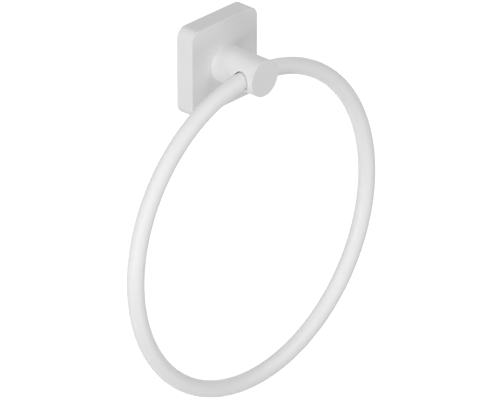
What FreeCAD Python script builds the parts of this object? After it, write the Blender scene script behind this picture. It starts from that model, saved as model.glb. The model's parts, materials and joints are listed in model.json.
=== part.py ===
import FreeCAD, Part
import Sketcher
import math
import os
import re

# Wall-mounted towel ring, in millimetres.
#
# A closed round ring hangs loose through an oversized cross bore near the front of a short
# round post. The post stands on a square, softly cornered cover plate. The cover is a shell
# that drops over a folded steel bracket on the wall, and a grub screw in its underside locks
# it there.
#
# Frame: the origin is on the wall, behind the post's axis. +Y points into the wall, so the
# post reaches out along -Y. +Z is up, +X is to the right for someone who faces the wall.

# Driving dimensions: name, value, what it is
SIZES = [
    # cover plate
    ("plate_side", 50.0, "width and height of the square cover"),
    ("plate_depth", 11.0, "how far the cover stands out from the wall"),
    ("plate_corner", 6.0, "radius of the cover's four corners, seen from the front"),
    ("plate_wall", 2.5, "side walls of the cover"),
    ("plate_front", 3.0, "front wall of the cover, which carries the post"),
    ("plate_edge", 0.4, "rounding of the cover's front edge"),
    # post
    ("post_diameter", 20.5, "turned post"),
    ("post_length", 28.5, "from the cover's front to the post's end face"),
    ("post_chamfer", 0.3, "chamfer round the end face"),
    ("spigot_diameter", 12.0, "spigot that seats in the cover"),
    ("spigot_flats", 9.5, "across the spigot's two flats, which stop the post from turning"),
    ("spigot_shortfall", 0.5, "the spigot ends this far inside the cover, so that the screw clamps it"),
    ("spigot_clearance", 0.1, "round the spigot in its hole"),
    # ring and the cross bore that it hangs in
    ("ring_diameter", 180.0, "circle of the bar's centre line"),
    ("bar_diameter", 9.3, "round bar"),
    ("bore_room", 0.15, "least room between the bar and the bore, whichever way the ring points"),
    ("bore_setback", 8.2, "from the post's end face back to the bore's axis"),
    ("bore_drop", 0.65, "from the post's axis down to the bore's axis"),
    ("bore_edge", 0.15, "rounding of the bore's two rims"),
    # screw and washer behind the post
    ("screw_diameter", 6.0, "thread of the post's screw"),
    ("screw_length", 12.0, "shank under the head"),
    ("screw_end", 0.75, "chamfer at the shank's end"),
    ("head_diameter", 10.5, "button head"),
    ("head_height", 3.3, "button head"),
    ("head_edge", 1.6, "rounding of the button head"),
    ("head_socket", 4.0, "hex socket of the button head, across flats"),
    ("head_socket_depth", 2.0, "hex socket of the button head"),
    ("tap_runout", 2.1, "full thread in the post beyond the shank's end"),
    ("thread_clearance", 0.05, "round every thread"),
    ("washer_diameter", 18.0, "outside, wide enough to span the spigot's hole"),
    ("washer_play", 0.4, "how much wider the washer's hole is than the screw"),
    ("washer_thickness", 1.6, "washer between head and cover"),
    # wall bracket
    ("sheet", 2.0, "thickness of the bracket's sheet"),
    ("bend_radius", 1.0, "inside of the bracket's two bends"),
    ("bracket_side_gap", 3.5, "from the base's sides to the cover's side walls"),
    ("bracket_end_gap", 9.0, "from the base's upper and lower edges to the cover's walls"),
    ("bracket_corner", 3.0, "corners of the base"),
    ("eye_clearance", 1.5, "round the screw's head in the bracket's middle hole"),
    ("slot_width", 5.0, "wall screw slots"),
    ("slot_length", 7.5, "wall screw slots, from end to end"),
    ("slot_margin", 2.75, "from the slots' outer ends to the base's sides"),
    ("flange_width", 17.0, "the bracket's upper and lower flanges"),
    ("flange_gap", 1.5, "from the flanges' edges to the cover's front wall"),
    ("flange_corner", 1.0, "corners of the flanges"),
    ("flange_play", 0.1, "between the upper flange and the cover's upper wall"),
    # grub screw under the cover
    ("grub_diameter", 4.0, "thread of the grub screw"),
    ("grub_length", 6.0, "grub screw"),
    ("grub_point", 2.0, "flat of the grub screw's point"),
    ("grub_chamfer", 0.5, "chamfer round the grub screw's outer end"),
    ("grub_socket", 2.0, "hex socket of the grub screw, across flats"),
    ("grub_socket_depth", 2.2, "hex socket of the grub screw"),
    ("grub_recess", 0.5, "how deep the grub screw's end lies in the cover's underside"),
    ("lug_wall", 2.0, "each side of the grub screw in the lug inside the cover"),
    ("lug_gap", 1.0, "between the lug and the bracket's lower flange"),
    ("lug_setback", 0.8, "from the wall to the lug"),
]

# Derived sizes, written once and used by every piece that they touch
INNER_SIDE = "(plate_side - 2 * plate_wall)"
INNER_DEPTH = "(plate_depth - plate_front)"
POST_END = "(plate_depth + post_length)"
POST_RADIUS = "(post_diameter / 2)"
BAR_RADIUS = "(bar_diameter / 2)"
RING_RADIUS = "(ring_diameter / 2)"
# The bar is curved, so where it leaves the post it has fallen this far below its top
BAR_SAG = "(" + RING_RADIUS + " - sqrt(" + RING_RADIUS + "^2 - " + POST_RADIUS + "^2))"
# The bore is that much wider, and half of it lies above the bore's axis, half below, so the
# bar clears the bore alike at its top and where it leaves the post
RING_RISE = "(" + BAR_SAG + " / 2)"
BORE_RADIUS = "(" + BAR_RADIUS + " + " + RING_RISE + " + bore_room)"
BORE_REACH = "(" + POST_END + " - bore_setback)"
SPIGOT_LENGTH = "(plate_front - spigot_shortfall)"
SPIGOT_END = "(plate_depth - " + SPIGOT_LENGTH + ")"
WASHER_BACK = "(" + INNER_DEPTH + " - washer_thickness)"
TAPPED_END = "(" + WASHER_BACK + " + screw_length + tap_runout)"
SCREW_HOLE = "(screw_diameter / 2 + thread_clearance)"
BASE_WIDTH = "(" + INNER_SIDE + " - 2 * bracket_side_gap)"
BASE_HEIGHT = "(" + INNER_SIDE + " - 2 * bracket_end_gap)"
SLOT_CENTRE = "(" + BASE_WIDTH + " / 2 - slot_margin - slot_length / 2)"
FLANGE_REACH = "(" + INNER_DEPTH + " - flange_gap)"
FLANGE_TOP = "(" + INNER_SIDE + " / 2 - flange_play)"
GRUB_OUTER = "(plate_side / 2 - grub_recess)"
# The grub screw's point ends on the lower flange, at the middle of its flat
FLANGE_BOTTOM = "(" + GRUB_OUTER + " - grub_length)"
GRUB_REACH = "((sheet + bend_radius + " + FLANGE_REACH + ") / 2)"
LUG_TOP = "(" + FLANGE_BOTTOM + " + lug_gap)"
LUG_HALF = "(grub_diameter / 2 + lug_wall)"
# A drill's point of 118 degrees is this share of its radius deep
DRILL_POINT = "0.6"

ALIASES = [alias for alias, _, _ in SIZES]
WORD = re.compile(r"\b(" + "|".join(ALIASES) + r")\b")


def bound(text):
    """The expression with every size's name pointed at the spreadsheet."""
    return WORD.sub(r"sizes.\1", text)


def value(text):
    """The number that an expression of size names has now."""
    return float(sheet.evalExpression(bound(text)))


def fill_sheet(table):
    """Write the driving dimensions into the spreadsheet, one row each."""
    for row, (alias, number, note) in enumerate(SIZES, start=1):
        table.set("A%d" % row, alias)
        table.set("B%d" % row, str(number))
        table.setAlias("B%d" % row, alias)
        table.set("C%d" % row, note)


# Bodies and sketches

def new_body(label):
    """A body whose label names its file."""
    body = doc.addObject("PartDesign::Body", label)
    body.Label = label
    return body


def place(body, x="0", y="0", z="0"):
    """Put a body that is drawn round its own origin at its place in the assembly."""
    for axis, text in (("x", x), ("y", y), ("z", z)):
        body.setExpression("Placement.Base." + axis, bound(text))


def new_sketch(body, name, plane, height="0"):
    """A sketch on one of the body's own planes, raised along that plane's normal.

    The normals are +Z for XY, -Y for XZ and +X for YZ.
    """
    sketch = body.newObject("Sketcher::SketchObject", name)
    support = [item for item in body.Origin.OriginFeatures if item.Role == plane + "_Plane"][0]
    sketch.AttachmentSupport = [(support, "")]
    sketch.MapMode = "FlatFace"
    sketch.setExpression("AttachmentOffset.Base.z", bound(height))
    return sketch


def bind_constraint(sketch, constraint, text):
    """Add a dimension whose value is an expression of size names."""
    index = sketch.addConstraint(constraint)
    sketch.setExpression("Constraints[%d]" % index, bound(text))


def fix_point(sketch, geometry, vertex, x, y):
    """Hold one point of a sketch at coordinates given as expressions."""
    bind_constraint(sketch, Sketcher.Constraint("DistanceX", -1, 1, geometry, vertex, value(x)), x)
    bind_constraint(sketch, Sketcher.Constraint("DistanceY", -1, 1, geometry, vertex, value(y)), y)


def draw_circle(sketch, radius, x="0", y="0"):
    """A circle with its radius and centre given as expressions."""
    centre = FreeCAD.Vector(value(x), value(y), 0)
    circle = sketch.addGeometry(Part.Circle(centre, FreeCAD.Vector(0, 0, 1), value(radius)), False)
    bind_constraint(sketch, Sketcher.Constraint("Radius", circle, value(radius)), radius)
    fix_point(sketch, circle, 3, x, y)


def draw_profile(sketch, points):
    """A closed outline of straight lines through points given as expressions."""
    numbers = [FreeCAD.Vector(value(x), value(y), 0) for x, y in points]
    lines = []
    for start, end in zip(numbers, numbers[1:] + numbers[:1]):
        lines.append(sketch.addGeometry(Part.LineSegment(start, end), False))
    for line, following in zip(lines, lines[1:] + lines[:1]):
        sketch.addConstraint(Sketcher.Constraint("Coincident", line, 2, following, 1))
    for line, (x, y) in zip(lines, points):
        fix_point(sketch, line, 1, x, y)


def draw_rectangle(sketch, left, right, bottom, top):
    """A rectangle between four coordinates given as expressions."""
    draw_profile(sketch, [(left, bottom), (right, bottom), (right, top), (left, top)])


def draw_hexagon(sketch, flats):
    """A regular hexagon about the origin, with its size across flats as an expression."""
    half = "(" + flats + ") / 2"
    corner = "(" + flats + ") / sqrt(3)"
    side = "(" + flats + ") / (2 * sqrt(3))"
    draw_profile(sketch, [(corner, "0"), (side, half), ("-" + side, half),
                          ("-" + corner, "0"), ("-" + side, "-" + half), (side, "-" + half)])


def draw_flatted_circle(sketch, radius, flat):
    """A circle about the origin with two upright flats, each at the given distance."""
    reach = value(flat)
    rise = value("sqrt((" + radius + ")^2 - (" + flat + ")^2)")
    right_top = FreeCAD.Vector(reach, rise, 0)
    right_bottom = FreeCAD.Vector(reach, -rise, 0)
    left_top = FreeCAD.Vector(-reach, rise, 0)
    left_bottom = FreeCAD.Vector(-reach, -rise, 0)
    top = FreeCAD.Vector(0, value(radius), 0)
    bottom = FreeCAD.Vector(0, -value(radius), 0)
    right = sketch.addGeometry(Part.LineSegment(right_bottom, right_top), False)
    over = sketch.addGeometry(Part.Arc(right_top, top, left_top), False)
    left = sketch.addGeometry(Part.LineSegment(left_top, left_bottom), False)
    under = sketch.addGeometry(Part.Arc(left_bottom, bottom, right_bottom), False)
    for arc in (over, under):
        sketch.addConstraint(Sketcher.Constraint("Coincident", arc, 3, -1, 1))
        bind_constraint(sketch, Sketcher.Constraint("Radius", arc, value(radius)), radius)
    for line in (right, left):
        sketch.addConstraint(Sketcher.Constraint("Vertical", line))
    # an arc runs anticlockwise, from its vertex 1 to its vertex 2
    for line, line_end, arc, arc_end in ((right, 2, over, 1), (left, 1, over, 2),
                                         (left, 2, under, 1), (right, 1, under, 2)):
        sketch.addConstraint(Sketcher.Constraint("Coincident", line, line_end, arc, arc_end))
    bind_constraint(sketch, Sketcher.Constraint("DistanceX", -1, 1, right, 1, reach), flat)
    bind_constraint(sketch, Sketcher.Constraint("DistanceX", left, 1, -1, 1, reach), flat)


def draw_slot(sketch, x, length, width):
    """A lying slot with round ends, centred at x on the sketch's horizontal axis."""
    radius = "(" + width + ") / 2"
    run = "((" + length + ") - (" + width + ")) / 2"
    first = value(x + " - " + run)
    last = value(x + " + " + run)
    rise = value(radius)
    upper = sketch.addGeometry(Part.LineSegment(FreeCAD.Vector(last, rise, 0),
                                                FreeCAD.Vector(first, rise, 0)), False)
    lower = sketch.addGeometry(Part.LineSegment(FreeCAD.Vector(first, -rise, 0),
                                                FreeCAD.Vector(last, -rise, 0)), False)
    left = sketch.addGeometry(Part.Arc(FreeCAD.Vector(first, rise, 0),
                                       FreeCAD.Vector(first - rise, 0, 0),
                                       FreeCAD.Vector(first, -rise, 0)), False)
    right = sketch.addGeometry(Part.Arc(FreeCAD.Vector(last, -rise, 0),
                                        FreeCAD.Vector(last + rise, 0, 0),
                                        FreeCAD.Vector(last, rise, 0)), False)
    for line, line_end, arc, arc_end in ((upper, 2, left, 1), (lower, 1, left, 2),
                                         (lower, 2, right, 1), (upper, 1, right, 2)):
        sketch.addConstraint(Sketcher.Constraint("Tangent", line, line_end, arc, arc_end))
    fix_point(sketch, left, 3, x + " - " + run, "0")
    fix_point(sketch, right, 3, x + " + " + run, "0")
    bind_constraint(sketch, Sketcher.Constraint("Radius", left, rise), radius)


# Features

def pad(body, sketch, length, backwards=False, both_ways=False):
    """Grow material from a sketch, along its normal unless it goes backwards."""
    feature = body.newObject("PartDesign::Pad", sketch.Name + "_pad")
    feature.Profile = sketch
    feature.setExpression("Length", bound(length))
    feature.Reversed = backwards
    if both_ways:
        feature.SideType = "Symmetric"
    doc.recompute()
    return feature


def pocket(body, sketch, length, along_normal=True, both_ways=False):
    """Cut a sketch away, along its normal unless told otherwise, and see that it cut."""
    before = body.Shape.Volume
    feature = body.newObject("PartDesign::Pocket", sketch.Name + "_pocket")
    feature.Profile = sketch
    feature.setExpression("Length", bound(length))
    # a pocket runs against its sketch's normal unless it is reversed
    feature.Reversed = along_normal
    if both_ways:
        feature.SideType = "Symmetric"
    doc.recompute()
    if body.Shape.Volume >= before:
        raise RuntimeError(feature.Name + " cuts nothing")
    return feature


def revolve(body, sketch, axis, cut=False):
    """Turn a sketch all the way round one of its own axes, to add or to cut."""
    kind = "PartDesign::Groove" if cut else "PartDesign::Revolution"
    feature = body.newObject(kind, sketch.Name + ("_groove" if cut else "_turned"))
    feature.Profile = sketch
    feature.ReferenceAxis = (sketch, [axis])
    feature.Angle = 360
    doc.recompute()
    return feature


def edges_where(feature, test):
    """The names of the feature's edges for which the test holds."""
    return ["Edge%d" % number
            for number, edge in enumerate(feature.Shape.Edges, start=1) if test(edge)]


def fillet(body, feature, radius, test):
    """Round the feature's edges for which the test holds."""
    names = edges_where(feature, test)
    if not names:
        raise RuntimeError(feature.Name + " has no such edge")
    made = body.newObject("PartDesign::Fillet", feature.Name + "_fillet")
    made.Base = (feature, names)
    made.setExpression("Radius", bound(radius))
    doc.recompute()
    return made


def near(first, second):
    """Two lengths agree to a thousandth of a millimetre."""
    return abs(first - second) < 0.001


def flat_at(box, axis, height):
    """A bounding box lies flat at one height of an axis."""
    low = getattr(box, axis + "Min")
    high = getattr(box, axis + "Max")
    return near(low, height) and near(high, height)


def runs_along_y(edge):
    """A straight edge that runs square to the wall."""
    return near(edge.BoundBox.XLength, 0) and near(edge.BoundBox.ZLength, 0)


# The pieces

def make_cover_plate():
    """The cast shell on the wall: square, soft corners, open behind, a tapped lug below."""
    body = new_body("cover_plate")
    half = "plate_side / 2"
    outline = new_sketch(body, "cover_outline", "XZ")
    draw_rectangle(outline, "-" + half, half, "-" + half, half)
    block = pad(body, outline, "plate_depth")
    block = fillet(body, block, "plate_corner", runs_along_y)
    front = -value("plate_depth")
    fillet(body, block, "plate_edge", lambda edge: flat_at(edge.BoundBox, "Y", front))

    inner = INNER_SIDE + " / 2"
    hollow = new_sketch(body, "cover_hollow", "XZ")
    draw_rectangle(hollow, "-" + inner, inner, "-" + inner, inner)
    cavity = pocket(body, hollow, INNER_DEPTH)
    corner = value(inner)
    fillet(body, cavity, "plate_corner - plate_wall",
           lambda edge: runs_along_y(edge) and near(abs(edge.BoundBox.Center.x), corner)
           and near(abs(edge.BoundBox.Center.z), corner))

    # the lug grows out of the lower wall and the front wall, so it starts inside both
    lug = new_sketch(body, "cover_lug", "XZ", "lug_setback")
    draw_rectangle(lug, "-" + LUG_HALF, LUG_HALF, "-plate_side / 2 + plate_wall / 2", "-" + LUG_TOP)
    pad(body, lug, INNER_DEPTH + " - lug_setback + plate_front / 2")

    seat = new_sketch(body, "cover_seat", "XZ", INNER_DEPTH)
    draw_flatted_circle(seat, "spigot_diameter / 2 + spigot_clearance",
                        "spigot_flats / 2 + spigot_clearance")
    pocket(body, seat, "plate_front")

    thread = new_sketch(body, "cover_thread", "XY", "-plate_side / 2")
    draw_circle(thread, "grub_diameter / 2 + thread_clearance", "0", "-" + GRUB_REACH)
    pocket(body, thread, "plate_side / 2 - " + LUG_TOP)
    return body


def make_post():
    """The turned post: chamfered end, cross bore with soft rims, flatted spigot, tapped back."""
    body = new_body("post")
    turned = new_sketch(body, "post_profile", "XY")
    draw_profile(turned, [("0", "-plate_depth"), (POST_RADIUS, "-plate_depth"),
                          (POST_RADIUS, "-" + POST_END + " + post_chamfer"),
                          (POST_RADIUS + " - post_chamfer", "-" + POST_END),
                          ("0", "-" + POST_END)])
    revolve(body, turned, "V_Axis")

    spigot = new_sketch(body, "post_spigot", "XZ", "plate_depth")
    draw_flatted_circle(spigot, "spigot_diameter / 2", "spigot_flats / 2")
    pad(body, spigot, SPIGOT_LENGTH, backwards=True)

    bore = new_sketch(body, "post_bore", "YZ")
    draw_circle(bore, BORE_RADIUS, "-" + BORE_REACH, "-bore_drop")
    drilled = pocket(body, bore, "2 * post_diameter", both_ways=True)
    axis_y = -value(BORE_REACH)
    axis_z = -value("bore_drop")
    radius = value(BORE_RADIUS)
    outside = value(POST_RADIUS)

    def on_rim(edge):
        """An edge whose middle lies both on the bore's wall and on the post's side."""
        middle = edge.valueAt((edge.FirstParameter + edge.LastParameter) / 2)
        return (near(math.hypot(middle.y - axis_y, middle.z - axis_z), radius)
                and near(math.hypot(middle.x, middle.z), outside))

    fillet(body, drilled, "bore_edge", on_rim)

    tapped = new_sketch(body, "post_thread", "XY")
    draw_profile(tapped, [("0", "-" + SPIGOT_END), (SCREW_HOLE, "-" + SPIGOT_END),
                          (SCREW_HOLE, "-" + TAPPED_END),
                          ("0", "-" + TAPPED_END + " - " + DRILL_POINT + " * " + SCREW_HOLE)])
    revolve(body, tapped, "V_Axis", cut=True)
    return body


def make_ring():
    """The closed round ring, drawn about its own centre and hung in the bore."""
    body = new_body("ring")
    section = new_sketch(body, "ring_section", "YZ")
    draw_circle(section, BAR_RADIUS, "0", RING_RADIUS)
    revolve(body, section, "H_Axis")
    place(body, "0", "-" + BORE_REACH, "-bore_drop + " + RING_RISE + " - " + RING_RADIUS)
    return body


def make_post_screw():
    """The button head screw that pulls the post on to the cover, drawn from under its head."""
    body = new_body("post_screw")
    shank = "screw_diameter / 2"
    profile = new_sketch(body, "screw_profile", "XY")
    draw_profile(profile, [("0", "head_height"), ("head_diameter / 2", "head_height"),
                           ("head_diameter / 2", "0"), (shank, "0"),
                           (shank, "-screw_length + screw_end"),
                           (shank + " - screw_end", "-screw_length"),
                           ("0", "-screw_length")])
    turned = revolve(body, profile, "V_Axis")
    top = value("head_height")
    fillet(body, turned, "head_edge", lambda edge: flat_at(edge.BoundBox, "Y", top))
    socket = new_sketch(body, "screw_socket", "XZ", "-head_height")
    draw_hexagon(socket, "head_socket")
    pocket(body, socket, "head_socket_depth")
    place(body, "0", "-" + WASHER_BACK, "0")
    return body


def make_post_washer():
    """The plain washer under the screw's head."""
    body = new_body("post_washer")
    face = new_sketch(body, "washer_face", "XZ")
    draw_circle(face, "washer_diameter / 2")
    draw_circle(face, "(screw_diameter + washer_play) / 2")
    pad(body, face, "washer_thickness")
    place(body, "0", "-" + WASHER_BACK, "0")
    return body


def make_wall_bracket():
    """The folded steel bracket: a base with two slots and an eye, a flange above and below."""
    body = new_body("wall_bracket")
    section = new_sketch(body, "bracket_section", "YZ")
    draw_profile(section, [("0", "-" + FLANGE_BOTTOM), ("0", FLANGE_TOP),
                           ("-" + FLANGE_REACH, FLANGE_TOP),
                           ("-" + FLANGE_REACH, FLANGE_TOP + " - sheet"),
                           ("-sheet", FLANGE_TOP + " - sheet"),
                           ("-sheet", "-" + FLANGE_BOTTOM + " + sheet"),
                           ("-" + FLANGE_REACH, "-" + FLANGE_BOTTOM + " + sheet"),
                           ("-" + FLANGE_REACH, "-" + FLANGE_BOTTOM)])
    strip = pad(body, section, "flange_width", both_ways=True)
    inside = -value("sheet")
    edge_of_flange = -value(FLANGE_REACH)
    upper = value(FLANGE_TOP)
    lower = -value(FLANGE_BOTTOM)

    def runs_along_x(edge):
        """A straight edge that runs along the bends."""
        return near(edge.BoundBox.YLength, 0) and near(edge.BoundBox.ZLength, 0)

    strip = fillet(body, strip, "bend_radius",
                   lambda edge: runs_along_x(edge) and near(edge.BoundBox.Center.y, inside))
    strip = fillet(body, strip, "bend_radius + sheet",
                   lambda edge: runs_along_x(edge) and near(edge.BoundBox.Center.y, 0)
                   and (near(edge.BoundBox.Center.z, upper) or near(edge.BoundBox.Center.z, lower)))
    fillet(body, strip, "flange_corner",
           lambda edge: near(edge.BoundBox.XLength, 0) and near(edge.BoundBox.YLength, 0)
           and near(edge.BoundBox.Center.y, edge_of_flange))

    base = new_sketch(body, "bracket_base", "XZ")
    half_width = BASE_WIDTH + " / 2"
    half_height = BASE_HEIGHT + " / 2"
    draw_rectangle(base, "-" + half_width, half_width, "-" + half_height, half_height)
    wide = pad(body, base, "sheet")
    side = value(half_width)
    fillet(body, wide, "bracket_corner",
           lambda edge: runs_along_y(edge) and near(abs(edge.BoundBox.Center.x), side))

    holes = new_sketch(body, "bracket_holes", "XZ")
    draw_circle(holes, "head_diameter / 2 + eye_clearance")
    for centre in ("-" + SLOT_CENTRE, SLOT_CENTRE):
        draw_slot(holes, centre, "slot_length", "slot_width")
    pocket(body, holes, "sheet")
    return body


def make_grub_screw():
    """The socket set screw in the cover's underside, drawn from its outer end upwards."""
    body = new_body("grub_screw")
    radius = "grub_diameter / 2"
    point = "grub_point / 2"
    profile = new_sketch(body, "grub_profile", "XZ")
    # the point is a cone of 90 degrees, so it is as high as it is wide
    draw_profile(profile, [("0", "0"), (radius + " - grub_chamfer", "0"),
                           (radius, "grub_chamfer"),
                           (radius, "grub_length - (" + radius + " - " + point + ")"),
                           (point, "grub_length"), ("0", "grub_length")])
    revolve(body, profile, "V_Axis")
    socket = new_sketch(body, "grub_hex", "XY")
    draw_hexagon(socket, "grub_socket")
    pocket(body, socket, "grub_socket_depth")
    place(body, "0", "-" + GRUB_REACH, "-" + GRUB_OUTER)
    return body


def check_and_write(pieces):
    """Stop on any failed object or bad shape, then write one file for each piece."""
    doc.recompute()
    for item in doc.Objects:
        if "Invalid" in item.State or "Error" in item.State:
            raise RuntimeError(item.Label + " failed: " + ", ".join(item.State))
    for piece in pieces:
        shape = piece.Shape
        if shape.isNull() or not shape.isValid() or len(shape.Solids) != 1:
            raise RuntimeError(piece.Label + " is not one valid solid")
    os.makedirs("parts", exist_ok=True)
    for piece in pieces:
        piece.Shape.exportStep(os.path.join("parts", piece.Label + ".step"))
        box = piece.Shape.BoundBox
        print("%-14s %9.1f mm3   x %.2f %.2f   y %.2f %.2f   z %.2f %.2f"
              % (piece.Label, piece.Shape.Volume, box.XMin, box.XMax,
                 box.YMin, box.YMax, box.ZMin, box.ZMax))


doc = FreeCAD.newDocument("towel_ring")
sheet = doc.addObject("Spreadsheet::Sheet", "sizes")
fill_sheet(sheet)
doc.recompute()
check_and_write([
    make_cover_plate(),
    make_post(),
    make_ring(),
    make_post_screw(),
    make_post_washer(),
    make_wall_bracket(),
    make_grub_screw(),
])
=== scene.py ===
import json
import logging
import math
from abc import ABC, abstractmethod
from collections.abc import Callable, Iterable, Sequence
from dataclasses import dataclass, field
from enum import Enum

import bmesh
import bpy
from mathutils import Matrix, Vector


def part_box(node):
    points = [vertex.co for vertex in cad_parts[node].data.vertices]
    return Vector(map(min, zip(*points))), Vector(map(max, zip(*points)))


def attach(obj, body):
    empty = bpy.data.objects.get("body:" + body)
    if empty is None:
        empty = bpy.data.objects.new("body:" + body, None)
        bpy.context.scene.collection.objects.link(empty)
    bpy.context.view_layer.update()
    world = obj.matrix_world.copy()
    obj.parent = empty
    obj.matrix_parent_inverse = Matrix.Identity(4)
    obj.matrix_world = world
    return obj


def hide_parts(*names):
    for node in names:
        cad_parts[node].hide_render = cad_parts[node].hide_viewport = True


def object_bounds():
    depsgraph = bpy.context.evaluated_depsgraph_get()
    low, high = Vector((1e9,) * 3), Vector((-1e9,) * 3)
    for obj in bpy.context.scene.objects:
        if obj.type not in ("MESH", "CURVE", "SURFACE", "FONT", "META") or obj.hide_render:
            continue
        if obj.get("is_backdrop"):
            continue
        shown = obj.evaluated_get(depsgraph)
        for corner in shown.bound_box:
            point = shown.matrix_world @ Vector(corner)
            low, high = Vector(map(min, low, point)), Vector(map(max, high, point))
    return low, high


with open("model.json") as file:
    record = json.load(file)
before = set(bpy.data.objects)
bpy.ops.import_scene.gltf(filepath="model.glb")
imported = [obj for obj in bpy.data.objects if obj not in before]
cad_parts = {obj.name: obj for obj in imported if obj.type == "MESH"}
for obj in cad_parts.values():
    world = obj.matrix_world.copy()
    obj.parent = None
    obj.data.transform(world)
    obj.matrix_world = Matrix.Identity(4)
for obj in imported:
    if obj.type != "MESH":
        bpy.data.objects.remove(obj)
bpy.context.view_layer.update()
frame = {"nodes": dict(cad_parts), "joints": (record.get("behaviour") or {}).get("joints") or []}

# A wall-mounted towel ring. Positions are in metres for Blender, and every outline below is
# drawn in millimetres, in the object's own frame: the wall is the plane y = 0, the object
# stands out from it along -Y, +Z is up and the post's axis is the Y axis.
MM = 0.001
ALONG_X = Vector((1.0, 0.0, 0.0))
ALONG_Y = Vector((0.0, 1.0, 0.0))
ALONG_Z = Vector((0.0, 0.0, 1.0))
# points of a mesh that lie nearer than this are one point
SAME_POINT_MM = 1e-4
# a drilled hole ends in a cone this deep for each millimetre of its radius
DRILL_POINT = 0.6
# a metric thread's depth for a pitch of 1, and what its crest and its root take of a pitch
THREAD_DEPTH = 0.6134
CREST_SHARE = 0.125
ROOT_SHARE = 0.25
LOG = logging.getLogger("towel_ring")

Point = tuple[float, float, float]
Reach = Callable[[float], float]
Settings = dict[str, object]
Inputs = dict[str | int, object]


class Body(Enum):
    """The two bodies that move against each other."""

    WALL_MOUNT = "wall_mount"
    TOWEL_RING = "towel_ring"


class Slot(Enum):
    """The material slots that the pieces take their finish from."""

    WHITE_COAT = "white_coat"
    WHITE_COAT_RING = "white_coat_ring"
    PLATED_STEEL = "plated_steel"
    PLATED_SHEET = "plated_sheet"
    BLACK_STEEL = "black_steel"


class Grain(Enum):
    """How a metal's fine marks lie: their scale along x, y and z, small where they run on."""

    NONE = (1.0, 1.0, 1.0)
    ROLLED_ALONG_X = (0.04, 1.0, 1.0)
    DRAWN_ALONG_Y = (1.0, 0.05, 1.0)


class Joining(Enum):
    """What a tool does to the piece that it meets."""

    CUT = "DIFFERENCE"
    WELD = "UNION"


# Colour and shader helpers

def linear(hex_colour: str) -> tuple[float, float, float, float]:
    """Turn an sRGB hex colour into the linear colour that a shader takes.

    Args:
        hex_colour: six hexadecimal digits after a hash, such as "#E8E8E8".

    Returns:
        Linear red, green and blue, and an alpha of 1.
    """
    channels = []
    for start in (1, 3, 5):
        coded = int(hex_colour[start:start + 2], 16) / 255
        channels.append(coded / 12.92 if coded <= 0.04045 else ((coded + 0.055) / 1.055) ** 2.4)
    return (channels[0], channels[1], channels[2], 1.0)


def add_node(tree: bpy.types.NodeTree, kind: str, settings: Settings | None = None,
             inputs: Inputs | None = None) -> bpy.types.Node:
    """Add one node to a tree, set its properties and set or link its inputs.

    Args:
        tree: the node tree that the node goes into.
        kind: the node's type name.
        settings: property names and their values.
        inputs: input names or numbers, each with a value or with the output socket to link.

    Returns:
        The new node.
    """
    node = tree.nodes.new(kind)
    for name, setting in (settings or {}).items():
        setattr(node, name, setting)
    for name, source in (inputs or {}).items():
        if isinstance(source, bpy.types.NodeSocket):
            tree.links.new(source, node.inputs[name])
        else:
            node.inputs[name].default_value = source
    return node


def empty_tree(owner: bpy.types.Material | bpy.types.World) -> bpy.types.NodeTree:
    """Switch nodes on for a material or world and clear its tree.

    Args:
        owner: the material or world.

    Returns:
        Its empty node tree.
    """
    owner.use_nodes = True
    owner.node_tree.nodes.clear()
    return owner.node_tree


# Finishes

@dataclass(frozen=True)
class Noise:
    """A random pattern: how far apart its bumps are and how finely they break up."""

    apart_mm: float
    octaves: float
    octave_share: float = 0.5

    def inputs(self, place: bpy.types.NodeSocket) -> Inputs:
        """The noise node's inputs, with its scale in waves for each metre of the piece."""
        return {"Vector": place, "Scale": 1.0 / (self.apart_mm * MM), "Detail": self.octaves,
                "Roughness": self.octave_share}


@dataclass(frozen=True)
class Finish(ABC):
    """What both kinds of finish share: clouds in the colour, an uneven gloss and a relief."""

    name: str
    colour: str
    shade: str
    roughness: float
    gloss_spread: float
    clouds: Noise
    relief: Noise
    relief_depth_mm: float = 0.003
    grain: Grain = Grain.NONE
    # the gloss changes with the relief, or else more slowly with the clouds
    gloss_in_relief: bool = False

    @abstractmethod
    def nature(self) -> Inputs:
        """The shader inputs that say what the surface is made of."""

    def material(self) -> bpy.types.Material:
        """Build the finish's material.

        Returns:
            A new material of this name.
        """
        material = bpy.data.materials.new(self.name)
        tree = empty_tree(material)
        place = add_node(tree, "ShaderNodeTexCoord").outputs["Object"]
        clouds = add_node(tree, "ShaderNodeTexNoise", {"noise_dimensions": "3D"},
                          self.clouds.inputs(place)).outputs["Fac"]
        tint = add_node(tree, "ShaderNodeMix", {"data_type": "RGBA"},
                        {"Factor": clouds, "A": linear(self.shade), "B": linear(self.colour)})
        stretched = add_node(tree, "ShaderNodeMapping", None,
                             {"Vector": place, "Scale": self.grain.value}).outputs["Vector"]
        relief = add_node(tree, "ShaderNodeTexNoise", {"noise_dimensions": "3D"},
                          self.relief.inputs(stretched)).outputs["Fac"]
        gloss = add_node(tree, "ShaderNodeMapRange", None,
                         {"Value": relief if self.gloss_in_relief else clouds,
                          "To Min": self.roughness - self.gloss_spread,
                          "To Max": self.roughness + self.gloss_spread}).outputs["Result"]
        bump = add_node(tree, "ShaderNodeBump", None,
                        {"Height": relief, "Strength": 1.0,
                         "Distance": self.relief_depth_mm * MM}).outputs["Normal"]
        shader = add_node(tree, "ShaderNodeBsdfPrincipled", None,
                          {"Base Color": tint.outputs["Result"], "Roughness": gloss,
                           "Normal": bump, **self.nature()})
        add_node(tree, "ShaderNodeOutputMaterial", None, {"Surface": shader.outputs["BSDF"]})
        return material


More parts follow.
